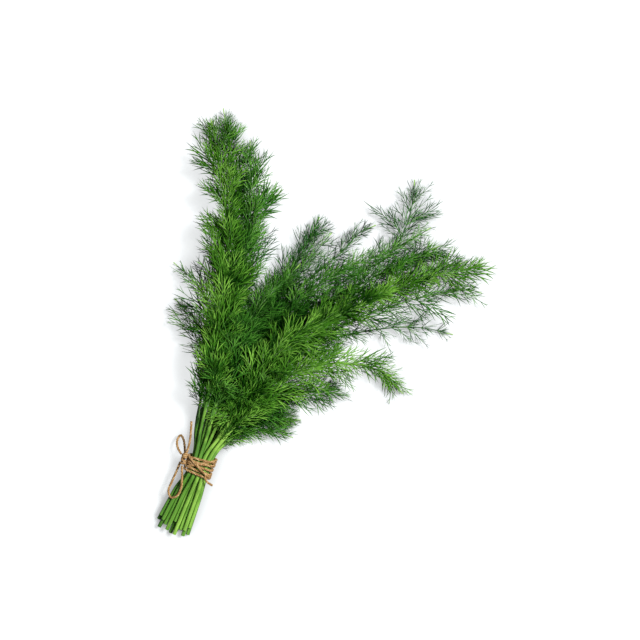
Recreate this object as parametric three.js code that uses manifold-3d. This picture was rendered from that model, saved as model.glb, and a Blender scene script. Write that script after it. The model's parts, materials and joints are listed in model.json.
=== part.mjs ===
// A bunch of cut dill, tied with twine and laid down on a flat surface.
// Millimetres, +Z up. The cut ends point along -Y and the plumes along +Y and +X.
// The origin lies on the surface, under the middle of the whole bunch.

import * as THREE from "three";
import { mergeVertices } from "three/addons/utils/BufferGeometryUtils.js";
import Module from "manifold-3d";

const wasm = await Module();
wasm.setup();

// Clearance kept between two pieces that lie against each other.
const GAP = 0.3;

// Stems. A stem is a six-sided tube with a flat underneath, which tapers above the tie.
const STEM_RADIUS = 1.5;
const STEM_SIDES = 6;
const STEM_TIP_RADIUS = 0.5;
const STEM_ROUGHNESS = 0.6;
const STEPS_PER_POINT = 2;
const STEM_PITCH = 3.45;
const STEM_NESTING = 3.55;
const TOP_ROW = 4;
const WIDEST_COLUMN = 4;

// Twine: its turns round the stems, and how far they reach along them.
const TWINE_RADIUS = 1;
const TWINE_SIDES = 8;
const TWINE_STEPS_PER_TURN = 16;
const TWINE_TURNS = 5;
const TWINE_PITCH = 2.6;
const TWINE_SLACK = 0.3;
const TWINE_START = 0.8 * Math.PI;
const TWINE_SQUARENESS = 2 / 4.2;
const TWINE_COLOR = 0x9c7c4e;
const TWINE_ROUGHNESS = 0.9;

// The bunch leans to +X: the direction of the stems at the tie and at their cut ends.
const TIE_LEAN = THREE.MathUtils.degToRad(20);
const CUT_LEAN = THREE.MathUtils.degToRad(24);
const TIE_REACH = 8;
const CUT_STATIONS = [
  { below: 40, lift: 0 },
  { below: 32, lift: 0.1 },
  { below: 22, lift: 0.6 },
];
const MEAN_CUT = 50;
const CUT_SPREAD = 1.76;
const SPREAD_CURVE = 0.85;

// Side leaves: thin spikes along each frond, in pairs, raked towards its tip.
const LEAF_RADIUS = 0.6;
const LEAF_SIDES = 3;
const LEAF_PAIR_SPACING = 15;
const LEAF_RAKE = THREE.MathUtils.degToRad(38);
const LEAF_LEVELLING = 0.5;
const LEAF_LENGTHS = { atTie: 1.15, atTip: 0.5 };
const LEAF_RADII = { atTie: 1.1, atTip: 0.6 };
const LAST_LEAF = 0.96;
const LEAF_RISES = [0.12, -0.12, 0.35, -0.35, 0.6, -0.6, 0.9];
const LEAF_CUTS = [1, 0.75, 0.5];
const LOWEST_LEAF = 0.4;
const HIGHEST_LEAF = 38;

// Each sprig: its row and its column in the tie, where neighbours in a row are two columns apart;
// the length of its stem below the tie; where its leaves begin along the frond; the length of
// its longest leaf; its green; and its route above the tie, measured from the tie's middle.
const SPRIGS = [
  {
    row: 1, column: -4, cut: 50, bare: 0.42, leaf: 25, green: 0x5f9a2e,
    route: [[-3.5, 26, 7.5], [2, 58, 9], [5, 84, 10], [0, 102, 10], [-9, 114, 5.5], [-20, 124, 0.7]],
  },
  {
    row: 3, column: -4, cut: 46, bare: 0.36, leaf: 26, green: 0x4f8a2a,
    route: [[-2, 26, 15], [6.5, 58, 19.5], [10, 93, 21], [7, 118, 20], [-4, 136, 14], [-20, 151, 6]],
  },
  {
    row: 0, column: -3, cut: 53, bare: 0.26, leaf: 21, green: 0x2f6a24,
    route: [[-1, 26, 4], [6, 56, 4.5], [11, 97, 5], [14, 134, 5], [12, 162, 3.6], [4, 184, 0.7]],
  },
  {
    row: 4, column: -3, cut: 48, bare: 0.24, leaf: 31, green: 0x5a9a30,
    route: [
      [1, 26, 18.5], [9, 61, 26], [15, 100, 30], [20, 138, 30],
      [21, 176, 26], [16, 216, 19], [8, 258, 8],
    ],
  },
  {
    row: 2, column: -3, cut: 55, bare: 0.22, leaf: 33, green: 0x3d7c28,
    route: [
      [3, 26, 11.5], [12, 63, 15], [19, 100, 17], [26, 138, 17],
      [28, 176, 15], [25, 216, 11], [17, 266, 5],
    ],
  },
  {
    row: 3, column: -2, cut: 51, bare: 0.24, leaf: 31, green: 0x458330,
    route: [
      [4, 26, 15], [14, 63, 20.5], [23, 100, 23.5], [31, 138, 23],
      [35, 174, 19], [38, 209, 14], [37, 242, 8],
    ],
  },
  {
    row: 1, column: -2, cut: 47, bare: 0.28, leaf: 20, green: 0x356f30,
    route: [
      [5, 26, 7.5], [16, 63, 9], [26, 100, 10.5], [35, 136, 10.5],
      [40, 166, 9.5], [48, 188, 7], [61, 206, 4],
    ],
  },
  {
    row: 4, column: -1, cut: 54, bare: 0.3, leaf: 26, green: 0x4a8a2c,
    route: [[7, 26, 18.5], [18, 63, 26], [30, 95, 31], [44, 117, 28], [60, 134, 20], [75, 150, 12]],
  },
  {
    row: 0, column: -1, cut: 49, bare: 0.28, leaf: 25, green: 0x2f6f2a,
    route: [
      [8, 26, 4], [21, 63, 4.5], [34, 95, 5], [52, 123, 5],
      [70, 149, 5], [82, 170, 4.5], [89, 185, 3],
    ],
  },
  {
    row: 2, column: -1, cut: 52, bare: 0.28, leaf: 26, green: 0x3a7a2b,
    route: [
      [9, 26, 11.5], [24, 63, 15], [39, 97, 17], [57, 124, 17],
      [76, 146, 14], [88, 161, 10], [98, 173, 6],
    ],
  },
  {
    row: 1, column: 0, cut: 56, bare: 0.3, leaf: 28, green: 0x3b7443,
    route: [
      [10, 26, 7.5], [27, 63, 9], [43, 98, 10.5], [67, 126, 10.5],
      [90, 146, 9.5], [107, 160, 7], [117, 172, 5], [131, 179, 3],
    ],
  },
  {
    row: 3, column: 0, cut: 46, bare: 0.24, leaf: 31, green: 0x4c8f2b,
    route: [
      [11, 26, 15], [29, 63, 20.5], [47, 96, 23.5], [75, 124, 24],
      [106, 145, 21], [134, 156, 16], [156, 167, 10], [172, 177, 6],
    ],
  },
  {
    row: 0, column: 1, cut: 53, bare: 0.24, leaf: 31, green: 0x417f3d,
    route: [
      [13, 26, 4], [32, 62, 4.5], [50, 94, 5], [82, 120, 5], [114, 141, 5],
      [138, 154, 5], [151, 172, 5], [158, 194, 4.5], [160, 213, 3],
    ],
  },
  {
    row: 2, column: 1, cut: 48, bare: 0.24, leaf: 30, green: 0x4c8d2c,
    route: [
      [14, 24, 11.5], [35, 61, 15], [54, 94, 17.5], [86, 116, 17.5],
      [119, 134, 17], [150, 151, 13], [178, 163, 8],
    ],
  },
  {
    row: 1, column: 2, cut: 51, bare: 0.24, leaf: 26, green: 0x2c6a2c,
    route: [
      [15, 24, 7.5], [38, 60, 9], [58, 90, 10.5], [91, 111, 10.5],
      [125, 128, 10.5], [160, 141, 7], [200, 152, 0.7],
    ],
  },
  {
    row: 4, column: 1, cut: 55, bare: 0.2, leaf: 31, green: 0x62a733,
    route: [
      [16, 23, 18.5], [39, 57, 26], [60, 88, 31], [96, 108, 31],
      [132, 125, 28], [169, 139, 21], [198, 146, 13], [211, 146, 8],
    ],
  },
  {
    row: 0, column: 3, cut: 47, bare: 0.24, leaf: 28, green: 0x3a7a30,
    route: [
      [16.5, 21, 4], [42, 54, 4.5], [66, 81, 5.5], [103, 95, 5.5],
      [140, 102, 5.5], [167, 102, 4], [189, 97, 0.7],
    ],
  },
  {
    row: 3, column: 2, cut: 50, bare: 0.2, leaf: 28, green: 0x4b8d31,
    route: [
      [17, 21, 15], [43, 53, 20.5], [67, 81, 23], [102, 102, 22],
      [138, 117, 18], [174, 127, 13], [197, 131, 9], [210, 128, 6],
    ],
  },
  {
    row: 2, column: 3, cut: 54, bare: 0.36, leaf: 34, green: 0x4f8f3a,
    route: [[17, 20, 11.5], [42, 44, 14.5], [68, 54, 14], [92, 55, 9], [106, 52, 3]],
  },
  {
    row: 4, column: 3, cut: 49, bare: 0.26, leaf: 31, green: 0x5b9b33,
    route: [
      [18, 20, 18.5], [45, 49, 25], [73, 71, 27], [104, 76, 22],
      [125, 71, 14], [139, 62, 8], [148, 50, 4],
    ],
  },
  {
    row: 1, column: 4, cut: 52, bare: 0.35, leaf: 25, green: 0x57a032,
    route: [[18.5, 18, 7], [40, 30, 7], [60, 34, 3.6], [75, 33, 0.7]],
  },
  {
    row: 3, column: 4, cut: 46, bare: 0.35, leaf: 21, green: 0x4b9a2c,
    route: [[20.2, 17.4, 12.8], [39, 26, 11], [56, 25, 7.5], [69, 20, 4]],
  },
];

// The bow: the knot's place beside the bundle and the routes of its loops and tails.
const KNOT = { x: -11.2, y: 5.2, z: 14.6, radius: 2.4, turn: Math.PI / 5 };
const KNOT_SEGMENTS = { round: 8, high: 6, band: 10 };
const UPPER_LOOP = [
  [-13.6, 8.8, 14], [-16.4, 13, 10.5], [-17.2, 18.4, 6.5], [-14.8, 22, 4.8],
  [-12.6, 19, 6.2], [-11.4, 14, 9.6], [-10.8, 9, 13.2],
];
const LOWER_LOOP = [
  [-14.4, 2.6, 13.6], [-17.6, -5, 12.6], [-20.8, -12, 11], [-23.4, -18.6, 10.6],
  [-21.6, -23.4, 12.8], [-17.2, -22.6, 15], [-13.8, -17.2, 16], [-12.8, -9, 17.2], [-12.8, 0.2, 18],
];
const LONG_TAIL = [[-11.2, 5.2, 15], [-9, 11, 16.6], [-7, 18.4, 16.8], [-6.2, 26, 17], [-5.8, 33, 17.6]];
const SHORT_TAIL = [[5.2, -4.6, 18.9], [4.6, -7.6, 20.2], [5.6, -11, 20.4], [9.8, -14.2, 19.4]];

// How many lengths each loop and tail is made of.
const UPPER_LOOP_STEPS = 16;
const LOWER_LOOP_STEPS = 20;
const TAIL_STEPS = 8;

const stemFlat = STEM_RADIUS * Math.cos(Math.PI / STEM_SIDES);
const lowestRow = 2 * TWINE_RADIUS + GAP + TWINE_SLACK + stemFlat;

// ---- Solids ----

function toSolid(geometry) {
  const bare = geometry.clone();
  bare.deleteAttribute("normal");
  bare.deleteAttribute("uv");
  const merged = mergeVertices(bare, 1e-4);
  return new wasm.Manifold(new wasm.Mesh({
    numProp: 3,
    vertProperties: new Float32Array(merged.attributes.position.array),
    triVerts: new Uint32Array(merged.index.array),
  }));
}

function toGeometry(solid) {
  const { vertProperties, triVerts, numProp } = solid.getMesh();
  const position = new Float32Array((vertProperties.length / numProp) * 3);
  for (let i = 0; i < position.length / 3; i += 1) {
    position.set(vertProperties.subarray(i * numProp, i * numProp + 3), i * 3);
  }
  const geometry = new THREE.BufferGeometry();
  geometry.setAttribute("position", new THREE.BufferAttribute(position, 3));
  geometry.setIndex(new THREE.BufferAttribute(new Uint32Array(triVerts), 1));
  const faceted = geometry.toNonIndexed();
  faceted.computeVertexNormals();
  return faceted;
}

function join(geometries) {
  const solids = geometries.map(toSolid);
  return toGeometry(solids.reduce((whole, solid) => whole.add(solid)));
}

function addPiece(group, name, geometry, color, roughness) {
  const material = new THREE.MeshStandardMaterial({ color, roughness, metalness: 0 });
  const mesh = new THREE.Mesh(geometry, material);
  mesh.name = name;
  group.add(mesh);
}

// ---- Tubes ----

function ring(radius, sides) {
  const corners = Array.from({ length: sides }, (_, i) => {
    const angle = ((i + 0.5) / sides) * 2 * Math.PI;
    return new THREE.Vector2(radius * Math.cos(angle), radius * Math.sin(angle));
  });
  return new THREE.Shape(corners);
}

function tube(curve, radius, sides, steps) {
  return new THREE.ExtrudeGeometry(ring(radius, sides), {
    extrudePath: curve,
    steps,
    curveSegments: 1,
    bevelEnabled: false,
  });
}

// A smooth curve that its steps follow point by point, so stems side by side bend together.
function curveThrough(points) {
  const curve = new THREE.CatmullRomCurve3(points.map((p) => new THREE.Vector3(...p)));
  curve.getUtoTmapping = (u) => u;
  return curve;
}

// Narrows a tube: each of its rings shrinks towards its own centre on the curve.
function taper(geometry, centres, scales) {
  const position = geometry.attributes.position;
  const vertex = new THREE.Vector3();
  for (let i = 0; i < position.count; i += 1) {
    vertex.fromBufferAttribute(position, i);
    let nearest = 0;
    for (let k = 1; k < centres.length; k += 1) {
      if (vertex.distanceToSquared(centres[k]) < vertex.distanceToSquared(centres[nearest])) nearest = k;
    }
    vertex.sub(centres[nearest]).multiplyScalar(scales[nearest]).add(centres[nearest]);
    position.setXYZ(i, vertex.x, vertex.y, vertex.z);
  }
}

// ---- Stems ----

function leaning(lean, along, across) {
  return [
    along * Math.sin(lean) + across * Math.cos(lean),
    along * Math.cos(lean) - across * Math.sin(lean),
  ];
}

// Each row nests between the stems below it, and sinks lower as they spread apart.
function rowRise(spread) {
  return Math.sqrt(STEM_NESTING ** 2 - ((spread * STEM_PITCH) / 2) ** 2);
}

// The stem lies flat at its cut end, rises into its place in the tie and then takes its route.
function stemPoints({ row, column, cut, route }) {
  const across = (column * STEM_PITCH) / 2;
  const tieHeight = lowestRow + row * rowRise(1);
  const points = [{ below: cut, lift: 0 }, ...CUT_STATIONS].map(({ below, lift }) => {
    const spread = 1 + (CUT_SPREAD - 1) * (below / MEAN_CUT) ** SPREAD_CURVE;
    return [...leaning(CUT_LEAN, -below, across * spread), stemFlat + row * rowRise(spread) + lift];
  });
  for (const along of [-TIE_REACH, TIE_REACH]) {
    points.push([...leaning(TIE_LEAN, along, across), tieHeight]);
  }
  return [...points, ...route];
}

function stem(sprig) {
  const points = stemPoints(sprig);
  const curve = curveThrough(points);
  const steps = STEPS_PER_POINT * (points.length - 1);
  const tieRing = steps - STEPS_PER_POINT * sprig.route.length;
  const centres = curve.getSpacedPoints(steps);
  const scales = centres.map((_, i) => {
    const above = Math.max(0, (i - tieRing) / (steps - tieRing));
    return 1 + above * (STEM_TIP_RADIUS / STEM_RADIUS - 1);
  });
  const geometry = tube(curve, STEM_RADIUS, STEM_SIDES, steps);
  taper(geometry, centres, scales);
  const rods = centres.slice(1).map((end, i) => ({
    start: centres[i], end, radius: STEM_RADIUS * scales[i],
  }));
  return { sprig, geometry, rods, frond: rods.slice(tieRing), leaves: [] };
}

// ---- Clearance between rods ----

function rodDistance(a, b) {
  const u = a.end.clone().sub(a.start);
  const v = b.end.clone().sub(b.start);
  const w = a.start.clone().sub(b.start);
  const uu = u.dot(u);
  const uv = u.dot(v);
  const vv = v.dot(v);
  const denominator = uu * vv - uv * uv;
  let s = denominator > 1e-9 ? (uv * v.dot(w) - vv * u.dot(w)) / denominator : 0;
  s = THREE.MathUtils.clamp(s, 0, 1);
  const t = THREE.MathUtils.clamp((uv * s + v.dot(w)) / vv, 0, 1);
  s = THREE.MathUtils.clamp((uv * t - u.dot(w)) / uu, 0, 1);
  return w.addScaledVector(u, s).addScaledVector(v, -t).length();
}

function isClear(rod, others) {
  return others.every((other) => rodDistance(rod, other) > rod.radius + other.radius + GAP);
}

// ---- Side leaves ----

function leafRod({ start, heading }, side, rise, length, radius) {
  const turned = heading.clone().setZ(heading.z * LEAF_LEVELLING);
  turned.applyAxisAngle(new THREE.Vector3(0, 0, 1), side * LEAF_RAKE);
  turned.z += rise;
  return { start, end: start.clone().addScaledVector(turned.normalize(), length), radius };
}

function rodLength(rod) {
  return rod.start.distanceTo(rod.end);
}

// The point that lies a distance along a chain of rods, and the direction of the chain there.
function pointAlong(rods, distance) {
  let left = distance;
  for (const rod of rods) {
    const length = rodLength(rod);
    if (left <= length) {
      const start = rod.start.clone().lerp(rod.end, left / length);
      return { start, heading: rod.end.clone().sub(rod.start).normalize() };
    }
    left -= length;
  }
  return null;
}

// Tries a leaf level, then higher and lower, then shorter, until it clears its neighbours.
function placeLeaf(place, side, length, radius, others) {
  for (const cut of LEAF_CUTS) {
    for (const rise of LEAF_RISES) {
      const rod = leafRod(place, side, rise, length * cut, radius);
      const fits = rod.end.z > LOWEST_LEAF && rod.end.z < HIGHEST_LEAF;
      if (fits && isClear(rod, others)) return rod;
    }
  }
  return null;
}

function between({ atTie, atTip }, towardsTip) {
  return THREE.MathUtils.lerp(atTie, atTip, towardsTip);
}

function growLeaves(piece, pieces) {
  const { sprig, frond, leaves } = piece;
  const neighbours = pieces.filter((other) => other !== piece);
  const others = neighbours.flatMap((other) => [...other.rods, ...other.leaves]);
  const frondLength = frond.reduce((sum, rod) => sum + rodLength(rod), 0);
  for (let at = sprig.bare * frondLength; at < LAST_LEAF * frondLength; at += LEAF_PAIR_SPACING) {
    const place = pointAlong(frond, at);
    const towardsTip = at / frondLength;
    const length = sprig.leaf * between(LEAF_LENGTHS, towardsTip);
    const radius = LEAF_RADIUS * between(LEAF_RADII, towardsTip);
    for (const side of [-1, 1]) {
      const rod = placeLeaf(place, side, length, radius, others);
      if (rod) leaves.push(rod);
    }
  }
}

function leafGeometry({ start, end, radius }) {
  const length = start.distanceTo(end);
  const geometry = new THREE.ConeGeometry(radius, length, LEAF_SIDES);
  geometry.translate(0, length / 2, 0);
  const heading = end.clone().sub(start).normalize();
  geometry.applyQuaternion(new THREE.Quaternion().setFromUnitVectors(new THREE.Vector3(0, 1, 0), heading));
  geometry.translate(...start);
  return geometry;
}

// ---- Twine ----

// A point on the rounded box round the bundle's section, a twine's radius clear of the stems.
function roundBundle(angle) {
  const clearance = GAP + TWINE_RADIUS + TWINE_SLACK;
  const halfWidth = (WIDEST_COLUMN * STEM_PITCH) / 2 + STEM_RADIUS + clearance;
  const halfHeight = (TOP_ROW / 2) * rowRise(1) + stemFlat + clearance;
  const cos = Math.cos(angle);
  const sin = Math.sin(angle);
  return [
    halfWidth * Math.sign(cos) * Math.abs(cos) ** TWINE_SQUARENESS,
    halfHeight * Math.sign(sin) * Math.abs(sin) ** TWINE_SQUARENESS,
  ];
}

class TwineTurns extends THREE.Curve {
  getPoint(t, target = new THREE.Vector3()) {
    const [across, up] = roundBundle(TWINE_START + t * TWINE_TURNS * 2 * Math.PI);
    const along = (t - 0.5) * TWINE_TURNS * TWINE_PITCH;
    const [x, y] = leaning(TIE_LEAN, along, across);
    return target.set(x, y, lowestRow + (TOP_ROW / 2) * rowRise(1) + up);
  }
}

function knotParts() {
  const { round, high, band: bandSteps } = KNOT_SEGMENTS;
  const core = new THREE.SphereGeometry(KNOT.radius, round, high);
  const band = new THREE.TorusGeometry(KNOT.radius, TWINE_RADIUS, high, bandSteps);
  band.rotateY(Math.PI / 2);
  band.rotateZ(KNOT.turn);
  for (const part of [core, band]) part.translate(KNOT.x, KNOT.y, KNOT.z);
  return [core, band];
}

function twineAlong(points, steps) {
  return tube(curveThrough(points), TWINE_RADIUS, TWINE_SIDES, steps);
}

// ---- The bunch ----

const bunch = new THREE.Group();
const stems = SPRIGS.map(stem);
for (const piece of stems) growLeaves(piece, stems);
stems.forEach((piece, i) => {
  const geometry = join([piece.geometry, ...piece.leaves.map(leafGeometry)]);
  addPiece(bunch, `sprig_${String(i + 1).padStart(2, "0")}`, geometry, piece.sprig.green, STEM_ROUGHNESS);
});

const turns = tube(new TwineTurns(), TWINE_RADIUS, TWINE_SIDES, TWINE_TURNS * TWINE_STEPS_PER_TURN);
const tails = [LONG_TAIL, SHORT_TAIL].map((tail) => twineAlong(tail, TAIL_STEPS));
const twine = {
  twine_tie: join([turns, ...knotParts(), ...tails]),
  twine_upper_loop: twineAlong(UPPER_LOOP, UPPER_LOOP_STEPS),
  twine_lower_loop: twineAlong(LOWER_LOOP, LOWER_LOOP_STEPS),
};
for (const [name, geometry] of Object.entries(twine)) {
  addPiece(bunch, name, geometry, TWINE_COLOR, TWINE_ROUGHNESS);
}

const box = new THREE.Box3().setFromObject(bunch);
const middle = box.getCenter(new THREE.Vector3());
bunch.position.set(-middle.x, -middle.y, -box.min.z);

export default bunch;
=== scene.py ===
import json
import math

import bpy
import numpy as np
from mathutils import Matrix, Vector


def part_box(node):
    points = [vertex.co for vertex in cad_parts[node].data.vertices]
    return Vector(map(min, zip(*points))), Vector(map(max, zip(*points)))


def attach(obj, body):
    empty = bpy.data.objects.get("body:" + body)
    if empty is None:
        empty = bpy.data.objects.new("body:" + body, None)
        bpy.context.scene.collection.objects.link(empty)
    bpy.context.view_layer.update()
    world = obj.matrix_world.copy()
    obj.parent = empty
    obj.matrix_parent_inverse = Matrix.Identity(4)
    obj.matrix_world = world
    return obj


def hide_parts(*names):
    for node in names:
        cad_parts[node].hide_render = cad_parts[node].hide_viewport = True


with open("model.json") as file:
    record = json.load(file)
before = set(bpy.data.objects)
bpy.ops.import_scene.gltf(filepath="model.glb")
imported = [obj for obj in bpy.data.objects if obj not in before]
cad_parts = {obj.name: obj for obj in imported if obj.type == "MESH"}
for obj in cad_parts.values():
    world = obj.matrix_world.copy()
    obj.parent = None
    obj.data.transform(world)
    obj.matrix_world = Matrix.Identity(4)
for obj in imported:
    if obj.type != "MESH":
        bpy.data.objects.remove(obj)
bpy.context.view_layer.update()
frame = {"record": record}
mm = 0.001
upward = np.array([0.0, 0.0, 1.0])
twineSeed, sprigSeed = 11, 40


def unit(v):
    return v / np.linalg.norm(v)


def deselect():
    if bpy.context.object and bpy.context.object.mode != "OBJECT":
        bpy.ops.object.mode_set(mode="OBJECT")
    bpy.ops.object.select_all(action="DESELECT")


def joinAll(objects, name):
    deselect()
    for o in objects:
        o.select_set(True)
    bpy.context.view_layer.objects.active = objects[0]
    if len(objects) > 1:
        bpy.ops.object.join()
    whole = bpy.context.object
    whole.name = whole.data.name = name
    return whole


def faceOutward(obj):
    deselect()
    obj.select_set(True)
    bpy.context.view_layer.objects.active = obj
    bpy.ops.object.mode_set(mode="EDIT")
    bpy.ops.mesh.select_all(action="SELECT")
    bpy.ops.mesh.normals_make_consistent(inside=False)
    bpy.ops.object.mode_set(mode="OBJECT")


# a smooth line through given points, in the same way as the solids' own curves
def smoothPath(points, perSpan):
    pts = np.array(points, float)
    pts = np.vstack([2 * pts[0] - pts[1], pts, 2 * pts[-1] - pts[-2]])
    path = []
    for i in range(1, len(pts) - 2):
        p0, p1, p2, p3 = pts[i - 1:i + 3]
        d0, d1, d2 = (math.sqrt(np.linalg.norm(b - a)) for a, b in ((p0, p1), (p1, p2), (p2, p3)))
        m1 = ((p1 - p0) / d0 - (p2 - p0) / (d0 + d1) + (p2 - p1) / d1) * d1
        m2 = ((p2 - p1) / d1 - (p3 - p1) / (d1 + d2) + (p3 - p2) / d2) * d1
        for t in np.arange(perSpan) / perSpan:
            path.append(p1 + m1 * t + (3 * (p2 - p1) - 2 * m1 - m2) * t ** 2
                        + (2 * (p1 - p2) + m1 + m2) * t ** 3)
    path.append(pts[-2])
    return np.array(path)


def lengthsOf(path):
    return np.concatenate([[0], np.cumsum(np.linalg.norm(np.diff(path, axis=0), axis=1))])


def pointAt(path, lengths, distance):
    return np.array([np.interp(distance, lengths, path[:, k]) for k in range(3)])


def headingAt(path, lengths, distance):
    return unit(pointAt(path, lengths, distance + mm) - pointAt(path, lengths, distance - mm))


def setTones(mesh, tones):
    attribute = mesh.attributes.new("tone", "FLOAT", "POINT")
    attribute.data.foreach_set("value", np.ascontiguousarray(tones, np.float32))


# the bundle that the stems and the twine share: its middle is placed from the lowest corner of
# the solids' tie, and stems lie in rows and half-pitch columns inside the tie and spread towards
# their cut ends; cut stations are mm below the tie, and the lift there
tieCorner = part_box("twine_tie")[0]
bundle = {"middle": (round(tieCorner.x + 13.60 * mm, 5), round(tieCorner.y + 14.99 * mm, 5)),
          "stemRadius": 1.5 * mm, "pitch": 3.45 * mm, "nesting": 3.55 * mm,
          "topRow": 4, "widestColumn": 4,
          "twineRadius": 1.0 * mm, "gap": 0.3 * mm, "slack": 0.3 * mm, "squareness": 2 / 4.2,
          "tieLean": math.radians(20), "cutLean": math.radians(24), "tieReach": 8 * mm,
          "cutStations": ((40, 0), (32, 0.1), (22, 0.6)), "meanCut": 50,
          "cutSpread": 1.76, "spreadCurve": 0.85}
stemFlat = bundle["stemRadius"] * math.cos(math.pi / 6)
lowestRow = 2 * bundle["twineRadius"] + bundle["gap"] + bundle["slack"] + stemFlat


def leaning(lean, along, across):
    return (along * math.sin(lean) + across * math.cos(lean),
            along * math.cos(lean) - across * math.sin(lean))


def rowRise(spread):
    return math.sqrt(bundle["nesting"] ** 2 - (spread * bundle["pitch"] / 2) ** 2)


def fromTie(points):
    path = np.array(points, float) * mm
    path[:, :2] += bundle["middle"]
    return path


# stage, light and camera
stageSpec = {"size": 14, "seen": (0.33, 0.34, 0.345), "bounce": (0.22, 0.23, 0.22),
             "glow": (0.745, 0.76, 0.765), "contact": 14 * mm,
             "skyColour": (0.92, 0.96, 1.0), "skyLevel": 0.15, "sunLevel": 4.1,
             "sunSoft": 17, "sunTilt": (0, 34, 24)}
viewSpec = {"fromTie": (89.25 * mm, 108 * mm), "height": 1.2, "frameWidth": 0.48,
            "sensor": 36}


# the camera sees a white table with a soft contact shadow; other rays meet a darker, unlit one
def makeStage():
    bpy.ops.mesh.primitive_plane_add(size=stageSpec["size"])
    floor = bpy.context.object
    floor.name = "floor"
    mat = bpy.data.materials.new("whiteTable")
    mat.use_nodes = True
    nodes, links = mat.node_tree.nodes, mat.node_tree.links
    nodes.clear()
    out = nodes.new("ShaderNodeOutputMaterial")
    both = nodes.new("ShaderNodeAddShader")
    ray = nodes.new("ShaderNodeLightPath")
    colour = nodes.new("ShaderNodeMix")
    colour.data_type = "RGBA"
    colour.inputs["A"].default_value = (*stageSpec["bounce"], 1)
    colour.inputs["B"].default_value = (*stageSpec["seen"], 1)
    matt = nodes.new("ShaderNodeBsdfDiffuse")
    openness = nodes.new("ShaderNodeAmbientOcclusion")
    openness.inputs["Distance"].default_value = stageSpec["contact"]
    openness.inputs["Color"].default_value = (*stageSpec["glow"], 1)
    glow = nodes.new("ShaderNodeEmission")
    links.new(ray.outputs["Is Camera Ray"], colour.inputs["Factor"])
    links.new(colour.outputs["Result"], matt.inputs["Color"])
    links.new(openness.outputs["Color"], glow.inputs["Color"])
    links.new(ray.outputs["Is Camera Ray"], glow.inputs["Strength"])
    links.new(matt.outputs[0], both.inputs[0])
    links.new(glow.outputs[0], both.inputs[1])
    links.new(both.outputs[0], out.inputs["Surface"])
    floor.data.materials.append(mat)

    world = bpy.data.worlds.new("sky")
    bpy.context.scene.world = world
    world.use_nodes = True
    sky = world.node_tree.nodes["Background"]
    sky.inputs["Color"].default_value = (*stageSpec["skyColour"], 1)
    sky.inputs["Strength"].default_value = stageSpec["skyLevel"]

    bpy.ops.object.light_add(type="SUN", rotation=[math.radians(a) for a in stageSpec["sunTilt"]])
    sun = bpy.context.object
    sun.data.energy = stageSpec["sunLevel"]
    sun.data.angle = math.radians(stageSpec["sunSoft"])


def makeCamera():
    x, y = (a + b for a, b in zip(bundle["middle"], viewSpec["fromTie"]))
    bpy.ops.object.camera_add(location=(x, y, viewSpec["height"]), rotation=(0, 0, 0))
    camera = bpy.context.object
    camera.data.sensor_width = viewSpec["sensor"]
    camera.data.lens = viewSpec["sensor"] * viewSpec["height"] / viewSpec["frameWidth"]
    bpy.context.scene.camera = camera


makeStage()
makeCamera()
bpy.context.scene.view_settings.view_transform = "Standard"
print("stage and camera ready")


def newMaterial(name, roughness):
    mat = bpy.data.materials.new(name)
    mat.use_nodes = True
    shader = mat.node_tree.nodes["Principled BSDF"]
    shader.inputs["Roughness"].default_value = roughness
    return mat, mat.node_tree.nodes, mat.node_tree.links, shader


toneStops = (0.08, 0.5, 0.95)
noiseDetail = 3


# colour from the piece's tone attribute, which holds its own tone and also painted light and
# shade, from 0 in the depths to 1 at the young tips, broken up by noise, which can be stretched
# along the stems
def tonedMaterial(name, colours, roughness, patchSize, patchShare, gloss, stretch=1):
    mat, nodes, links, shader = newMaterial(name, roughness)
    tone = nodes.new("ShaderNodeAttribute")
    tone.attribute_name = "tone"
    coords = nodes.new("ShaderNodeTexCoord")
    grain = nodes.new("ShaderNodeMapping")
    grain.vector_type = "TEXTURE"
    grain.inputs["Rotation"].default_value = (0, 0, -bundle["tieLean"])
    grain.inputs["Scale"].default_value = (1, stretch, 1)
    patches = nodes.new("ShaderNodeTexNoise")
    patches.inputs["Scale"].default_value = 1 / patchSize
    patches.inputs["Detail"].default_value = noiseDetail
    spread = nodes.new("ShaderNodeMath")
    spread.operation = "MULTIPLY_ADD"
    spread.inputs[1].default_value = patchShare
    spread.inputs[2].default_value = -patchShare / 2
    total = nodes.new("ShaderNodeMath")
    total.operation = "ADD"
    ramp = nodes.new("ShaderNodeValToRGB")
    stops = ramp.color_ramp.elements
    stops.new(toneStops[1])
    for stop, place, colour in zip(stops, toneStops, colours):
        stop.position = place
        stop.color = (*colour, 1)
    links.new(coords.outputs["Object"], grain.inputs["Vector"])
    links.new(grain.outputs["Vector"], patches.inputs["Vector"])
    links.new(patches.outputs["Fac"], spread.inputs[0])
    links.new(spread.outputs[0], total.inputs[0])
    links.new(tone.outputs["Fac"], total.inputs[1])
    links.new(total.outputs[0], ramp.inputs["Fac"])
    links.new(ramp.outputs["Color"], shader.inputs["Base Color"])
    shader.inputs["Specular IOR Level"].default_value = gloss
    return mat


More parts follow.
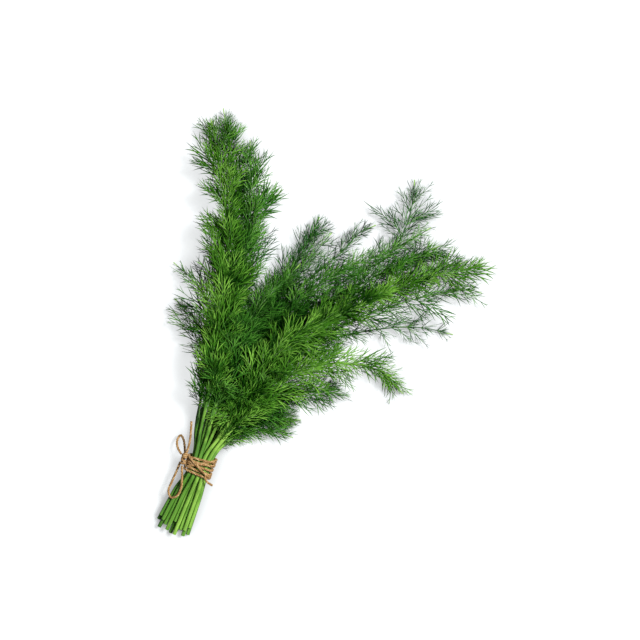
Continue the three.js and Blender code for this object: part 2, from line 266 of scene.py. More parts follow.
leafColours = {
    "dill_light": ((0.004, 0.042, 0.001), (0.062, 0.220, 0.014), (0.23, 0.51, 0.066)),
    "dill_mid": ((0.003, 0.034, 0.001), (0.042, 0.180, 0.016), (0.17, 0.44, 0.064)),
    "dill_dark": ((0.002, 0.028, 0.003), (0.030, 0.145, 0.024), (0.12, 0.35, 0.074)),
}
ribColours = ((0.020, 0.09, 0.012), (0.10, 0.27, 0.05), (0.30, 0.52, 0.17))
stemColours = ((0.020, 0.085, 0.012), (0.105, 0.29, 0.030), (0.36, 0.64, 0.10))
juteColours = ((0.16, 0.075, 0.020), (0.45, 0.26, 0.10), (0.86, 0.64, 0.36))
leafMaterials = {slot: tonedMaterial(f"leaf_{slot}", colours, roughness=0.6, patchSize=18 * mm,
                                     patchShare=0.5, gloss=0.05)
                 for slot, colours in leafColours.items()}
ribMaterial = tonedMaterial("leafRib", ribColours, roughness=0.5, patchSize=20 * mm,
                            patchShare=0.4, gloss=0.2)
stemMaterial = tonedMaterial("ribbedStem", stemColours, roughness=0.42, patchSize=1.8 * mm,
                             patchShare=0.75, gloss=0.4, stretch=18)
juteMaterial = tonedMaterial("juteFibre", juteColours, roughness=0.85, patchSize=1.2 * mm,
                             patchShare=1.0, gloss=0.15)
print("materials ready")


# swept tubes shade smoothly across edges up to this angle
smoothBelow = math.radians(50)


# the closed outline that a curve carries along itself: round, or ribbed by ribDepth
def makeSection(name, corners, ribDepth):
    curve = bpy.data.curves.new(name, "CURVE")
    spline = curve.splines.new("POLY")
    spline.points.add(corners - 1)
    spline.use_cyclic_u = True
    for i, point in enumerate(spline.points):
        angle = 2 * math.pi * i / corners
        reach = 1 - ribDepth * (i % 2)
        point.co = (reach * math.cos(angle), reach * math.sin(angle), 0, 1)
    section = bpy.data.objects.new(name, curve)
    bpy.context.collection.objects.link(section)
    return section


# sweeps a section along a path and turns it into a mesh
def sweep(path, radii, section, name):
    curve = bpy.data.curves.new(name, "CURVE")
    curve.dimensions = "3D"
    curve.twist_mode = "MINIMUM"
    curve.bevel_mode = "OBJECT"
    curve.bevel_object = section
    curve.use_fill_caps = True
    spline = curve.splines.new("POLY")
    spline.points.add(len(path) - 1)
    for i, point in enumerate(spline.points):
        point.co = (*path[i], 1)
        point.radius = radii[i]
    obj = bpy.data.objects.new(name, curve)
    bpy.context.collection.objects.link(obj)
    deselect()
    obj.select_set(True)
    bpy.context.view_layer.objects.active = obj
    bpy.ops.object.convert(target="MESH")
    bpy.ops.object.shade_smooth_by_angle(angle=smoothBelow)
    return bpy.context.object


# the twine's chances and measures
chance = np.random.default_rng(twineSeed)
twineSpec = {"strands": 3, "strandRadius": 0.45 * mm, "offset": 0.50 * mm, "pitch": 6.5 * mm,
             "step": 0.9 * mm, "corners": 6, "unevenness": 0.07, "tone": 0.5, "toneStep": 0.12,
             "perTurn": 24, "layerLift": 1.5}
# loose fibres: how far apart and how long they are, and how far they rise, lean, curl and stray
fuzzSpec = {"each": 0.9 * mm, "length": 1.4 * mm, "lengths": (0.6, 1.4), "width": 0.05 * mm,
            "rise": 0.35, "lean": 0.5, "curl": 0.3, "stray": 0.2, "floor": 0.3 * mm,
            "tone": 0.75}
# where the knot sits in mm from the tie's middle, and the size and lie of its turns
knot = {"at": (-11.2, 5.2, 14.6), "radius": 1.7, "reach": 2.9, "slant": 1.1, "steps": 58,
        "perTurn": 12, "drift": 0.25, "lift": 1.2, "swelling": 0.4, "crossFrom": 0.6,
        "backSlant": -0.4}
# the free lines of the twine, in mm from the tie's middle
upperLoop = [(-13.6, 8.8, 14), (-16.4, 13, 10.5), (-17.2, 18.4, 6.5), (-14.8, 22, 4.8),
             (-12.6, 19, 6.2), (-11.4, 14, 9.6), (-10.8, 9, 13.2)]
lowerLoop = [(-14.4, 2.6, 13.6), (-17.6, -5, 12.6), (-20.8, -12, 11), (-23.4, -18.6, 10.6),
             (-21.6, -23.4, 12.8), (-17.2, -22.6, 15), (-13.8, -17.2, 16), (-12.8, -9, 17.2),
             (-12.8, 0.2, 18)]
longTail = [(-11.2, 5.2, 15), (-9, 11, 16.6), (-7, 18.4, 16.8), (-6.2, 26, 17), (-5.8, 33, 17.6)]
shortTail = [(5.2, -4.6, 18.9), (4.6, -7.6, 20.2), (5.6, -11, 20.4), (9.8, -14.2, 19.4)]
# each turn on its upper side: along the stems on the left and on the right in mm, and layer
wraps = [(-5.4, -6.6, 0), (-3.0, -3.8, 0), (-0.6, -0.4, 0), (1.8, 2.8, 0), (4.0, 6.0, 0),
         (-3.8, 7.6, 1), (4.6, -5.6, 1.9), (0.4, 3.6, 1)]


# evenly spaced points along a line
def evenly(path, step):
    lengths = lengthsOf(path)
    count = max(3, round(lengths[-1] / step))
    return np.array([pointAt(path, lengths, d) for d in np.linspace(0, lengths[-1], count + 1)])


# a direction that no line of the twine starts along
askew = (0.3, 0.5, 0.81)


# two directions across a line at each of its points, carried along without twisting
def acrossOf(path):
    ahead = np.gradient(path, axis=0)
    ahead /= np.linalg.norm(ahead, axis=1)[:, None]
    first = unit(np.cross(ahead[0], askew))
    sides = [first]
    for direction in ahead[1:]:
        sides.append(unit(sides[-1] - direction * np.dot(sides[-1], direction)))
    sides = np.array(sides)
    return sides, np.cross(ahead, sides)


roundSection = makeSection("roundSection", twineSpec["corners"], 0)


# twisted strands with loose fibres, along a line given in metres
def makeTwine(line, name):
    path = evenly(line, twineSpec["step"])
    sideA, sideB = acrossOf(path)
    along = lengthsOf(path)
    parts = []
    for strand in range(twineSpec["strands"]):
        turn = 2 * math.pi * (strand / twineSpec["strands"] + along / twineSpec["pitch"])
        swell = 1 + chance.normal(0, twineSpec["unevenness"], len(path))
        out = np.cos(turn)[:, None] * sideA + np.sin(turn)[:, None] * sideB
        part = sweep(path + twineSpec["offset"] * out, twineSpec["strandRadius"] * swell,
                     roundSection, f"{name}Strand")
        tone = twineSpec["tone"] + twineSpec["toneStep"] * (strand - 1)
        setTones(part.data, np.full(len(part.data.vertices), tone))
        parts.append(part)
    parts.append(makeFuzz(path, sideA, sideB, name))
    whole = joinAll(parts, name)
    whole.data.materials.clear()
    whole.data.materials.append(juteMaterial)
    return whole, path


# loose fibres: thin blades that leave the twine at a slant
def makeFuzz(path, sideA, sideB, name):
    corners, faces = [], []
    along = lengthsOf(path)
    for at in np.arange(0, along[-1], fuzzSpec["each"]):
        i = int(np.searchsorted(along, at).clip(1, len(path) - 2))
        angle = chance.uniform(0, 2 * math.pi)
        out = math.cos(angle) * sideA[i] + math.sin(angle) * sideB[i]
        ahead = unit(path[i + 1] - path[i - 1]) * chance.choice((-1, 1))
        start = path[i] + out * twineSpec["strandRadius"]
        reach = fuzzSpec["length"] * chance.uniform(*fuzzSpec["lengths"])
        middle = start + reach * (fuzzSpec["rise"] * out + fuzzSpec["lean"] * ahead)
        end = middle + reach * (fuzzSpec["curl"] * out + chance.normal(0, fuzzSpec["stray"], 3))
        end[2] = max(end[2], fuzzSpec["floor"])
        width = fuzzSpec["width"] * np.cross(out, ahead)
        base = len(corners)
        corners += [start - width, start + width, middle + width, middle - width, end]
        faces += [(base, base + 1, base + 2, base + 3), (base + 3, base + 2, base + 4)]
    mesh = bpy.data.meshes.new(f"{name}Fuzz")
    mesh.from_pydata([tuple(c) for c in corners], [], faces)
    setTones(mesh, np.full(len(corners), fuzzSpec["tone"]))
    fuzz = bpy.data.objects.new(f"{name}Fuzz", mesh)
    bpy.context.collection.objects.link(fuzz)
    return fuzz


# the turns round the bundle, which cross one another on the upper side
def tieLine():
    radius = bundle["twineRadius"]
    clearance = bundle["gap"] + radius + bundle["slack"]
    halfWidth = bundle["widestColumn"] * bundle["pitch"] / 2 + bundle["stemRadius"] + clearance
    halfHeight = bundle["topRow"] / 2 * rowRise(1) + stemFlat + clearance
    middleHeight = lowestRow + bundle["topRow"] / 2 * rowRise(1)
    points = []
    for turn, (left, right, layer) in enumerate(wraps):
        following = wraps[min(turn + 1, len(wraps) - 1)][0]
        for step in range(twineSpec["perTurn"]):
            share = step / twineSpec["perTurn"]
            angle = math.pi * (1 - 2 * share)
            cos, sin = math.cos(angle), math.sin(angle)
            across = halfWidth * math.copysign(abs(cos) ** bundle["squareness"], cos)
            over = (1 + across / halfWidth) / 2
            if share < 0.5:
                along = left + (right - left) * over
                lift = layer * twineSpec["layerLift"] * radius
                lift *= math.sin(math.pi * share * 2) ** 0.5
            else:
                along = following + (right - following) * over
                lift = 0
            up = (halfHeight + lift) * math.copysign(abs(sin) ** bundle["squareness"], sin)
            x, y = leaning(bundle["tieLean"], along * mm, across)
            points.append((x + bundle["middle"][0], y + bundle["middle"][1],
                           max(middleHeight + up, radius)))
    return np.array(points)


# the knot: turns that pile up beside the bundle, the last ones slanting over the rest
def knotLine():
    turns = []
    for step in range(knot["steps"]):
        angle = 2 * math.pi * step / knot["perTurn"]
        share = step / (knot["steps"] - 1)
        along = knot["reach"] * math.sin(1.5 * math.pi * share - math.pi / 2)
        slant = knot["slant"] * math.sin(angle)
        slant *= 1 if share > knot["crossFrom"] else knot["backSlant"]
        up = knot["radius"] * (1 + knot["swelling"] * share) * math.sin(angle)
        turns.append((knot["at"][0] + knot["radius"] * math.cos(angle) + knot["drift"] * along,
                      knot["at"][1] + along + slant,
                      knot["at"][2] + knot["lift"] + up))
    return fromTie(turns)


for name, node, points in (("twineUpperLoop", "twine_upper_loop", upperLoop),
                           ("twineLowerLoop", "twine_lower_loop", lowerLoop)):
    line = smoothPath(fromTie(points), perSpan=10)
    loop, path = makeTwine(line, name)
    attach(loop, "root")
    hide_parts(node)
    print(name, "is", round(lengthsOf(path)[-1], 4), "m long")

tie = [makeTwine(line, f"twinePart{i}")[0] for i, line in enumerate((
    smoothPath(tieLine(), perSpan=2), smoothPath(knotLine(), perSpan=3),
    smoothPath(fromTie(longTail), perSpan=8), smoothPath(fromTie(shortTail), perSpan=8)))]
tie = joinAll(tie, "twineTie")
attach(tie, "root")
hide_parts("twine_tie")
print("twine tied")


# the leaf's smallest part: a spray of forked threads, modelled once in four forms
threadSpec = {"sides": 3, "rootWidth": 0.050, "middleWidth": 0.049, "cut": 0.6, "bend": 0.022,
              "forkWidth": 0.9}
# place along the spray, angle off it in degrees, length, lift
sprayForms = [
    [(0, 0, 1, 0), (0.30, 23, 0.62, 0.05)],
    [(0, 0, 1, 0), (0.24, -24, 0.68, 0.04), (0.46, 20, 0.48, 0)],
    [(0, 0, 1, 0)],
    [(0, 0, 1, 0), (0.20, 26, 0.68, 0.04), (0.38, -21, 0.56, -0.04)],
]


# one thread along +X: a thin cone, cut across and curved there
def makeThread():
    deselect()
    bpy.ops.mesh.primitive_cone_add(
        vertices=threadSpec["sides"], radius1=threadSpec["rootWidth"] / 2, radius2=0, depth=1,
        end_fill_type="NOTHING", location=(0.5, 0, 0), rotation=(0, math.pi / 2, 0))
    bpy.ops.object.transform_apply(location=True, rotation=True, scale=True)
    bpy.ops.object.mode_set(mode="EDIT")
    bpy.ops.mesh.select_all(action="SELECT")
    cut = threadSpec["cut"]
    bpy.ops.mesh.bisect(plane_co=(cut, 0, 0), plane_no=(1, 0, 0))
    grow = threadSpec["middleWidth"] / (threadSpec["rootWidth"] * (1 - cut))
    bpy.ops.transform.resize(value=(1, grow, grow), center_override=(cut, 0, 0))
    bpy.ops.transform.translate(value=(0, threadSpec["bend"], threadSpec["bend"]))
    bpy.ops.object.mode_set(mode="OBJECT")
    faceOutward(bpy.context.object)
    return bpy.context.object


def makeSpray(form, thread, name):
    threads = []
    for along, angle, length, lift in form:
        copy = thread.copy()
        copy.data = thread.data.copy()
        bpy.context.collection.objects.link(copy)
        width = 1 if length == 1 else threadSpec["forkWidth"]
        copy.scale = (length, width * (1 if angle <= 0 else -1), width)
        copy.rotation_euler = (0, -lift, math.radians(angle))
        copy.location = (along, threadSpec["bend"] * along / threadSpec["cut"], 0)
        threads.append(copy)
    deselect()
    for copy in threads:
        copy.select_set(True)
    bpy.context.view_layer.objects.active = threads[0]
    bpy.ops.object.transform_apply(location=True, rotation=True, scale=True)
    whole = joinAll(threads, name)
    faceOutward(whole)
    return whole


# a mesh's corners and faces as arrays, so that it can be copied many times over
def asArrays(obj):
    mesh = obj.data
    corners = np.array([v.co for v in mesh.vertices])
    faces = [tuple(p.vertices) for p in mesh.polygons]
    return corners, faces


thread = makeThread()
sprays = []
for index, form in enumerate(sprayForms):
    spray = makeSpray(form, thread, f"spray{index}")
    sprays.append(asArrays(spray))
    bpy.data.objects.remove(spray)
bpy.data.objects.remove(thread)


ribSpec = {"sides": 3, "tipWidth": 0.6, "cuts": (0.25, 0.5, 0.75)}


# a leaf's own rib: a rod along +X, cut into lengths, which each leaf bends to its own line
def makeRib():
    deselect()
    bpy.ops.mesh.primitive_cone_add(
        vertices=ribSpec["sides"], radius1=1, radius2=ribSpec["tipWidth"], depth=1,
        end_fill_type="NOTHING", location=(0.5, 0, 0), rotation=(0, math.pi / 2, 0))
    bpy.ops.object.transform_apply(location=True, rotation=True, scale=True)
    bpy.ops.object.mode_set(mode="EDIT")
    for cut in ribSpec["cuts"]:
        bpy.ops.mesh.select_all(action="SELECT")
        bpy.ops.mesh.bisect(plane_co=(cut, 0, 0), plane_no=(1, 0, 0))
    bpy.ops.object.mode_set(mode="OBJECT")
    rib = asArrays(bpy.context.object)
    bpy.data.objects.remove(bpy.context.object)
    return rib


rib = makeRib()
print("spray and rib modelled:", [len(s[1]) for s in sprays], "faces a spray")


# a sprig's stem: its section, taper and swellings
stemForm = {"corners": 14, "ribDepth": 0.09, "perSpan": 6, "tipRadius": 0.35 * mm,
            "lowest": 0.05 * mm, "swelling": 0.24, "swellingReach": 2.2 * mm, "sheath": 0.16,
            "sheathLength": 18 * mm, "sheathAngle": 9}
# how a stem's tone changes: towards its tip, below the tie, and at cut ends and nodes, with
# painted shade in its grooves
stemToneAndShade = {"tip": -0.35, "below": 0.06, "belowReach": 50 * mm, "cut": 0.95, "grooveShade": -0.20,
             "swelling": 0.30, "sheath": 0.12}

# row and column in the tie, stem below it in mm, where leaves begin in mm along the frond,
# longest leaf in mm, tone, how full its leaves are, and the route from the tie's middle in mm
sprigTable = [
    (1, -4, 50, 72, 18, 0.62, 0.65, [
        (-3.5, 26, 7.5), (2, 58, 9), (5, 84, 10),
        (0, 102, 10), (-9, 114, 5.5), (-20, 124, 0.7)]),
    (3, -4, 46, 56, 27, 0.56, 0.65, [
        (-2, 26, 15), (6.5, 58, 19.5), (10, 93, 21),
        (7, 118, 20), (-4, 136, 14), (-20, 151, 6)]),
    (0, -3, 53, 68, 20, 0.46, 0.75, [
        (-1, 26, 4), (6, 56, 4.5), (11, 97, 5),
        (14, 134, 5), (12, 162, 3.6), (4, 184, 0.7)]),
    (4, -3, 48, 34, 37, 0.52, 1.15, [
        (1, 26, 18.5), (9, 61, 26), (15, 100, 30), (20, 138, 30),
        (21, 176, 26), (16, 216, 19), (8, 258, 8)]),
    (2, -3, 55, 44, 36, 0.46, 1.15, [
        (3, 26, 11.5), (12, 63, 15), (19, 100, 17), (26, 138, 17),
        (28, 176, 15), (25, 216, 11), (17, 266, 5)]),
    (3, -2, 51, 38, 33, 0.5, 1.15, [
        (4, 26, 15), (14, 63, 20.5), (23, 100, 23.5), (31, 138, 23),
        (35, 174, 19), (38, 209, 14), (37, 242, 8)]),
    (1, -2, 47, 50, 21, 0.4, 0.8, [
        (5, 26, 7.5), (16, 63, 9), (26, 100, 10.5), (35, 136, 10.5),
        (40, 166, 9.5), (48, 188, 7), (61, 206, 4)]),
    (4, -1, 54, 32, 34, 0.46, 1, [
        (7, 26, 18.5), (18, 63, 26), (30, 95, 31),
        (44, 117, 28), (60, 134, 20), (75, 150, 12)]),
    (0, -1, 49, 48, 29, 0.4, 0.85, [
        (8, 26, 4), (21, 63, 4.5), (34, 95, 5), (52, 123, 5),
        (70, 149, 5), (82, 170, 4.5), (89, 185, 3)]),
    (2, -1, 52, 44, 31, 0.42, 0.74, [
        (9, 26, 11.5), (24, 63, 15), (39, 97, 17), (57, 124, 17),
        (76, 146, 14), (88, 161, 10), (98, 173, 6)]),
    (1, 0, 56, 44, 31, 0.42, 0.68, [
        (10, 26, 7.5), (27, 63, 9), (43, 98, 10.5), (67, 126, 10.5),
        (90, 146, 9.5), (107, 160, 7), (117, 172, 5), (131, 179, 3)]),
    (3, 0, 46, 34, 30, 0.46, 0.85, [
        (11, 26, 15), (29, 63, 20.5), (47, 96, 23.5), (75, 124, 24),
        (106, 145, 21), (134, 156, 16), (156, 167, 10), (172, 177, 6)]),
    (0, 1, 53, 46, 31, 0.4, 0.6, [
        (13, 26, 4), (32, 62, 4.5), (50, 94, 5), (82, 120, 5), (114, 141, 5),
        (138, 154, 5), (151, 172, 5), (158, 194, 4.5), (160, 213, 3)]),
    (2, 1, 48, 32, 34, 0.42, 1, [
        (14, 24, 11.5), (35, 61, 15), (54, 94, 17.5), (86, 116, 17.5),
        (119, 134, 17), (150, 151, 13), (178, 163, 8)]),
    (1, 2, 51, 38, 31, 0.38, 0.75, [
        (15, 24, 7.5), (38, 60, 9), (58, 90, 10.5), (91, 111, 10.5),
        (125, 128, 10.5), (160, 141, 7), (200, 152, 0.7)]),
    (4, 1, 55, 24, 36, 0.52, 1, [
        (16, 23, 18.5), (39, 57, 26), (60, 88, 31), (96, 108, 31),
        (132, 125, 28), (169, 139, 21), (198, 146, 13), (211, 146, 8)]),
    (0, 3, 47, 36, 26, 0.42, 0.5, [
        (16.5, 21, 4), (42, 54, 4.5), (66, 81, 5.5), (103, 95, 5.5),
        (140, 102, 5.5), (167, 102, 4), (189, 97, 0.7)]),
    (3, 2, 50, 21, 33, 0.42, 0.75, [
        (17, 21, 15), (43, 53, 20.5), (67, 81, 23), (102, 102, 22),
        (138, 117, 18), (174, 127, 13), (197, 131, 9), (210, 128, 6)]),
    (2, 3, 54, 18, 36, 0.46, 0.95, [
        (17, 20, 11.5), (42, 44, 14.5), (68, 54, 14),
        (92, 55, 9), (106, 52, 3)]),
    (4, 3, 49, 17, 34, 0.56, 0.8, [
        (18, 20, 18.5), (45, 49, 25), (73, 71, 27), (104, 76, 22),
        (126, 73, 14), (141, 65, 8), (151, 53, 4)]),
    (1, 4, 52, 12, 26, 0.52, 0.95, [(18.5, 18, 7), (40, 30, 7), (60, 34, 3.6), (75, 33, 0.7)]),
    (3, 4, 46, 10, 20, 0.5, 0.95, [(20.2, 17.4, 12.8), (39, 26, 11), (56, 25, 7.5), (69, 20, 4)]),
]


# the stem's line, in metres: flat at the cut end, then through the tie and along its route
def stemLine(row, column, cut, route):
    across = column * bundle["pitch"] / 2
    points = []
    for below, lift in ((cut, 0), *bundle["cutStations"]):
        opening = (below / bundle["meanCut"]) ** bundle["spreadCurve"]
        spread = 1 + (bundle["cutSpread"] - 1) * opening
        place = leaning(bundle["cutLean"], -below * mm, across * spread)
        points.append((*place, stemFlat + row * rowRise(spread) + lift * mm))
    for along in (-bundle["tieReach"], bundle["tieReach"]):
        place = leaning(bundle["tieLean"], along, across)
        points.append((*place, lowestRow + row * rowRise(1)))
    tieAt = (len(points) - 1) * stemForm["perSpan"]
    points += [(x * mm, y * mm, z * mm) for x, y, z in route]
    path = smoothPath(points, stemForm["perSpan"])
    path[:, :2] += bundle["middle"]
    return path, tieAt


stemSection = makeSection("stemSection", stemForm["corners"], stemForm["ribDepth"])


# a side leaf: where it bends and ends as shares of its length, and its sprays, by their gaps,
# their lengths, and their turn off the rib in degrees, which falls towards the leaf's tip
leafSpec = {"bendAt": 0.36, "tipAt": 0.68, "sway": 0.12, "droop": 0.08, "lastSpray": 0.98,
            "sprayedShare": 0.78, "sprayGap": 5.2 * mm, "sprayShare": 0.57, "sprayMin": 9 * mm,
            "sprayMax": 22 * mm, "shrink": 0.25, "turn": 25, "turnFall": 9, "turnSpread": 5,
            "tipHand": 0.1, "tipShare": 0.36, "rollSpread": 0.35, "sizeSpread": (0.75, 1.25),
            "toneSpread": 0.15, "lookAhead": 0.02}
# the bare share at a leaf's foot, and its rib's radius
leafKinds = {"side": {"bare": 0.10, "width": 0.26 * mm},
             "stalk": {"bare": 0.5, "width": 0.55 * mm},
             "branch": {"bare": 0.14, "width": 0.40 * mm}}
# a frond: its nodes, how far its leaves are raked, rolled and shortened, and its last leaf
frondSpec = {"nodeGap": 5.0 * mm, "gapStart": 0.9, "gapGrowth": 0.25, "gapSpread": (0.85, 1.15),
             "fullFrom": 0.65, "airyBelow": 0.8, "firstLeaf": 0.6, "longFrom": 0.2,
             "taper": 0.45, "airyTaper": 0.35, "taperCurve": 1.5, "rakeLow": 37, "rakeHigh": 23,
             "rakeSpread": 12, "roll": 0.10, "rollSpread": 0.6, "sideSpread": (0.65, 1.1),
             "risingShare": 0.7, "risingRake": 24, "risingSpread": 7, "hangingRoll": -0.9,
             "hangingRows": 3, "hangingShare": 0.55, "risingLengths": (0.6, 1.0),
             "toneRise": 0.10, "toneSpread": 0.19, "lastLeaf": 13 * mm, "lastRoot": 12 * mm,
             "lastHeading": 2 * mm, "lastTone": 0.15}
# leaves that stand out: their lift off the stem, from which angle in degrees they hang back and
# how much paler those are, and how a thin frond's leaves differ
stalkSpec = {"lift": 0.12, "backFrom": 90, "backTone": 0.3, "leastFull": 0.7,
             "fineBelow": 0.65, "fineness": 0.68}
bedSpec = {"floorGap": 0.3 * mm, "sink": 0.04, "ceiling": 28 * mm, "headroom": 10 * mm}
# painted shade from the crown: its cells and margins, the depth below the top at which a leaf is
# fully shaded, the most it is lightened above the top, and how much depth and thickness darken;
# also the sprays' own paler tips and the ribs' own paler tone
shadeAndToneSpec = {"cell": 5 * mm, "cellsBefore": 4, "cellsBeyond": 6, "depth": 11 * mm,
             "least": -0.2, "byDepth": 0.75, "byThickness": 0.10, "thick": 26,
             "towardsTip": 0.30, "evenAt": 0.4, "rib": 0.15}


def bent(ends, t):
    a, b, c = ends
    t = np.asarray(t)[:, None]
    return (1 - t) ** 2 * a + 2 * t * (1 - t) * b + t ** 2 * c


# one side leaf: its bent line and the sprays along it, as origin, heading, face and length
def growLeaf(root, heading, face, length, tone, fullness, found, luck, kind="side", fine=1):
    spec = leafSpec
    bare = leafKinds[kind]["bare"]
    side = np.cross(face, heading)
    sway = luck.normal(0, spec["sway"])
    reach = root + heading * length * spec["bendAt"]
    tip = root + length * spec["tipAt"] * unit(heading + side * sway - upward * spec["droop"])
    ends = (root, reach, tip)
    found["ribs"].append((ends, face, leafKinds[kind]["width"], tone))
    sprayed = length * spec["sprayedShare"] * (1 - bare)
    steps = max(1, round(sprayed / (spec["sprayGap"] * fine) * fullness))
    full = np.clip(length * spec["sprayShare"], spec["sprayMin"], spec["sprayMax"]) * fine
    for step in range(steps + 1):
        t = bare + (spec["lastSpray"] - bare) * step / steps
        here, ahead = bent(ends, [t, t + spec["lookAhead"]])
        forward = unit(ahead - here)
        atTip = step == steps
        size = length * spec["tipShare"] if atTip else full * (1 - spec["shrink"] * t)
        for hand in (spec["tipHand"],) if atTip else (-1, 1):
            turn = luck.normal(spec["turn"] - spec["turnFall"] * t, spec["turnSpread"])
            turn = math.radians(turn) * hand
            roll = luck.normal(0, spec["rollSpread"])
            out = unit(forward * math.cos(turn)
                       + math.sin(turn) * (side * math.cos(roll) + face * math.sin(roll)))
            up = unit(face - out * np.dot(face, out)) * math.copysign(1, hand)
            reachOut = size * luck.uniform(*spec["sizeSpread"])
            sprayTone = tone + luck.normal(0, spec["toneSpread"])
            found["sprays"].append((here, out, up, reachOut, sprayTone))


# where a leaf leaves its frond: the place, the frond's heading, across it, and its upper side
def nodeAt(frond, lengths, at, headingFrom=None):
    root = pointAt(frond, lengths, at)
    heading = headingAt(frond, lengths, at if headingFrom is None else headingFrom)
    across = unit(np.cross(heading, upward))
    return root, heading, across, np.cross(across, heading)


# the leaves of one frond: at every node two to the sides, one that rises over the stem and,
# low in the bundle, one that hangs under it; an airy frond has only those to the sides
def growFrond(path, tieAt, row, leafFrom, longest, tone, fullness, luck):
    spec = frondSpec
    frond = path[tieAt:]
    lengths = lengthsOf(frond)
    total = lengths[-1]
    found = {"ribs": [], "sprays": []}
    at = leafFrom * mm
    while at < total - spec["lastLeaf"]:
        share = (at - leafFrom * mm) / (total - leafFrom * mm)
        full = 1 + (fullness - 1) * min(1, share / spec["fullFrom"])
        airy = full < spec["airyBelow"]
        root, heading, across, face = nodeAt(frond, lengths, at)
        early = min(1, share / spec["longFrom"])
        reach = longest * mm * (spec["firstLeaf"] + (1 - spec["firstLeaf"]) * early)
        taper = spec["airyTaper"] if airy else spec["taper"]
        reach *= 1 - taper * share ** spec["taperCurve"]
        rake = spec["rakeLow"] + (spec["rakeHigh"] - spec["rakeLow"]) * share
        rising = [0] * (luck.random() < spec["risingShare"])
        hanging = [2] * (row < spec["hangingRows"] and share < spec["hangingShare"])
        for place in [-1, 1] if airy else [-1, 1] + rising + hanging:
            if place in (-1, 1):
                angle = math.radians(luck.normal(rake, spec["rakeSpread"]))
                roll = luck.normal(spec["roll"], spec["rollSpread"])
                length = reach * luck.uniform(*spec["sideSpread"])
            else:
                angle = math.radians(luck.normal(spec["risingRake"], spec["risingSpread"]))
                roll = math.pi / 2 if place == 0 else spec["hangingRoll"]
                roll += luck.normal(0, spec["rollSpread"])
                length = reach * luck.uniform(*spec["risingLengths"])
            hand = -1 if place == -1 else 1
            out = across * hand * math.cos(roll) + face * math.sin(roll)
            start = unit(heading * math.cos(angle) + out * math.sin(angle))
            leafFace = unit(face - start * np.dot(face, start))
            leafTone = tone + spec["toneRise"] * share + luck.normal(0, spec["toneSpread"])
            growLeaf(root, start, leafFace, length, leafTone, full, found, luck)
        gap = spec["nodeGap"] / full * (spec["gapStart"] + spec["gapGrowth"] * share)
        at += gap * luck.uniform(*spec["gapSpread"])
    root, heading, _, face = nodeAt(frond, lengths, total - spec["lastRoot"],
                                    total - spec["lastHeading"])
    growLeaf(root, heading, face, spec["lastLeaf"], tone + spec["lastTone"], fullness, found, luck)
    return found


# leaves that stand out: long-stalked ones that leave the stem in a sheath, branches further up
# the frond, and paler ones that hang back over the stems
def growStalks(path, tieAt, nodes, tone, fullness, found, luck):
    frond = path[tieAt:]
    lengths = lengthsOf(frond)
    fine = stalkSpec["fineness"] if fullness < stalkSpec["fineBelow"] else 1
    fullness = max(fullness, stalkSpec["leastFull"])
    for at, hand, length, angle in nodes:
        root, heading, across, face = nodeAt(frond, lengths, at * mm)
        turn = math.radians(angle)
        start = unit(heading * math.cos(turn) + hand * across * math.sin(turn)
                     + stalkSpec["lift"] * face)
        leafFace = unit(face - start * np.dot(face, start))
        kind = "stalk" if angle == stemForm["sheathAngle"] else "branch"
        leafTone = tone + stalkSpec["backTone"] * (angle > stalkSpec["backFrom"])
        growLeaf(root, start, leafFace, length * mm, leafTone, fullness, found, luck, kind, fine)


# leaves lie down on the table and are kept from standing too far above the bundle
def pressed(height):
    low = bedSpec["floorGap"] + bedSpec["sink"] * np.maximum(0, -height)
    over = np.maximum(0, height - bedSpec["ceiling"]) / bedSpec["headroom"]
    high = bedSpec["ceiling"] + bedSpec["headroom"] * np.tanh(over)
    return np.where(over > 0, high, np.maximum(height, low))


# how high the foliage stands and how thickly it grows, cell by cell over the table, which sets the
# leaves' painted shade
def surveyCrown(plants):
    spots = np.array([origin + out * size / 2
                      for plant in plants for origin, out, _, size, _ in plant["found"]["sprays"]])
    corner = spots[:, :2].min(axis=0) - shadeAndToneSpec["cellsBefore"] * shadeAndToneSpec["cell"]
    cells = ((spots[:, :2] - corner) / shadeAndToneSpec["cell"]).astype(int)
    top = np.zeros(cells.max(axis=0) + shadeAndToneSpec["cellsBeyond"])
    count = np.zeros_like(top)
    np.maximum.at(top, tuple(cells.T), pressed(spots[:, 2]))
    np.add.at(count, tuple(cells.T), 1)
    shifts = [(i, k) for i in (-1, 0, 1) for k in (-1, 0, 1)]
    top = sum(np.roll(top, shift, axis=(0, 1)) for shift in shifts) / len(shifts)
    count = sum(np.roll(count, shift, axis=(0, 1)) for shift in shifts) / len(shifts)
    return {"corner": corner, "top": top, "count": count}


# painted shade: leaves deep in the bunch and where it grows thick are darkened, and those above
# its smoothed top are lightened a little
def depthShade(corners, crown):
    cells = ((corners[:, :2] - crown["corner"]) / shadeAndToneSpec["cell"]).astype(int)
    cells = np.clip(cells, 0, np.array(crown["top"].shape) - 1)
    top = crown["top"][tuple(cells.T)]
    thickness = np.clip(crown["count"][tuple(cells.T)] / shadeAndToneSpec["thick"], 0, 1)
    depth = np.clip((top - corners[:, 2]) / shadeAndToneSpec["depth"], shadeAndToneSpec["least"], 1)
    return -shadeAndToneSpec["byDepth"] * depth * thickness - shadeAndToneSpec["byThickness"] * thickness


def copiesOf(shapeFaces, count, corners, firstCorner):
    shifts = firstCorner + corners * np.arange(count)
    for sides in (3, 4):
        part = np.array([f for f in shapeFaces if len(f) == sides])
        if len(part):
            yield (part[None] + shifts[:, None, None]).reshape(-1, sides)


